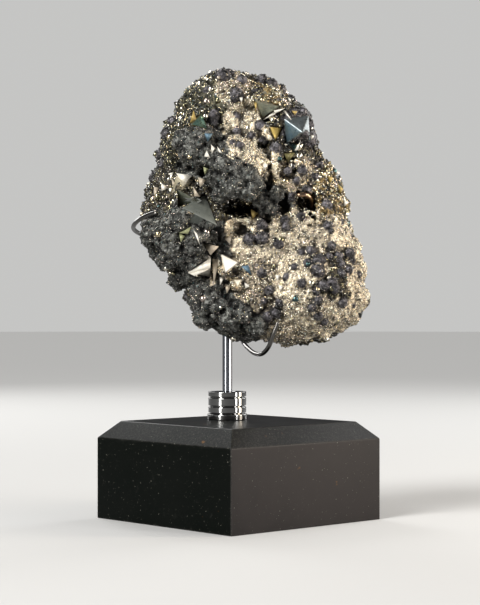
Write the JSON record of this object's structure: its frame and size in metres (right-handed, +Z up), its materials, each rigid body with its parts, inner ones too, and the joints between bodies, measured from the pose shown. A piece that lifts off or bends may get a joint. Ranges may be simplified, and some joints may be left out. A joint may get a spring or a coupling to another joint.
{
  "type": "mounted pyrite specimen",
  "caption": "Rough pyrite cluster with large octahedral crystals, held by three bent wire arms on a round post over a chamfered square stone block.",
  "frame": {"origin": "centre of the stone block's underside, on the surface that it stands on", "axes": "+Z up along the post; -Y towards the viewer of the specimen's crystal face; the block's side faces lie at 45 degrees to X and Y"},
  "size_m": [0.1434, 0.1434, 0.2248],
  "materials": {
    "base_stone": "satin",
    "collar_chrome": "polished",
    "post_chrome": "polished",
    "wire": "satin",
    "pyrite_matrix": "satin",
    "pyrite_dark": "polished",
    "pyrite_bright": "polished"
  },
  "bodies": {
    "root": {"base_block": "base_stone", "collar": "collar_chrome", "post": "post_chrome", "arm_left": "wire", "arm_right": "wire", "arm_lower": "wire", "matrix": "pyrite_matrix", "crystal_left_large": "pyrite_dark", "crystal_left_upper": "pyrite_dark", "crystal_left_bright": "pyrite_bright", "crystal_top_grey": "pyrite_dark", "crystal_top_blue": "pyrite_dark", "crystal_top_gold": "pyrite_bright", "crystal_top_teal": "pyrite_dark", "crystal_upper_teal": "pyrite_dark", "crystal_low_wide": "pyrite_bright", "crystal_low_front": "pyrite_bright", "crystal_low_small": "pyrite_bright"}
  },
  "joints": []
}
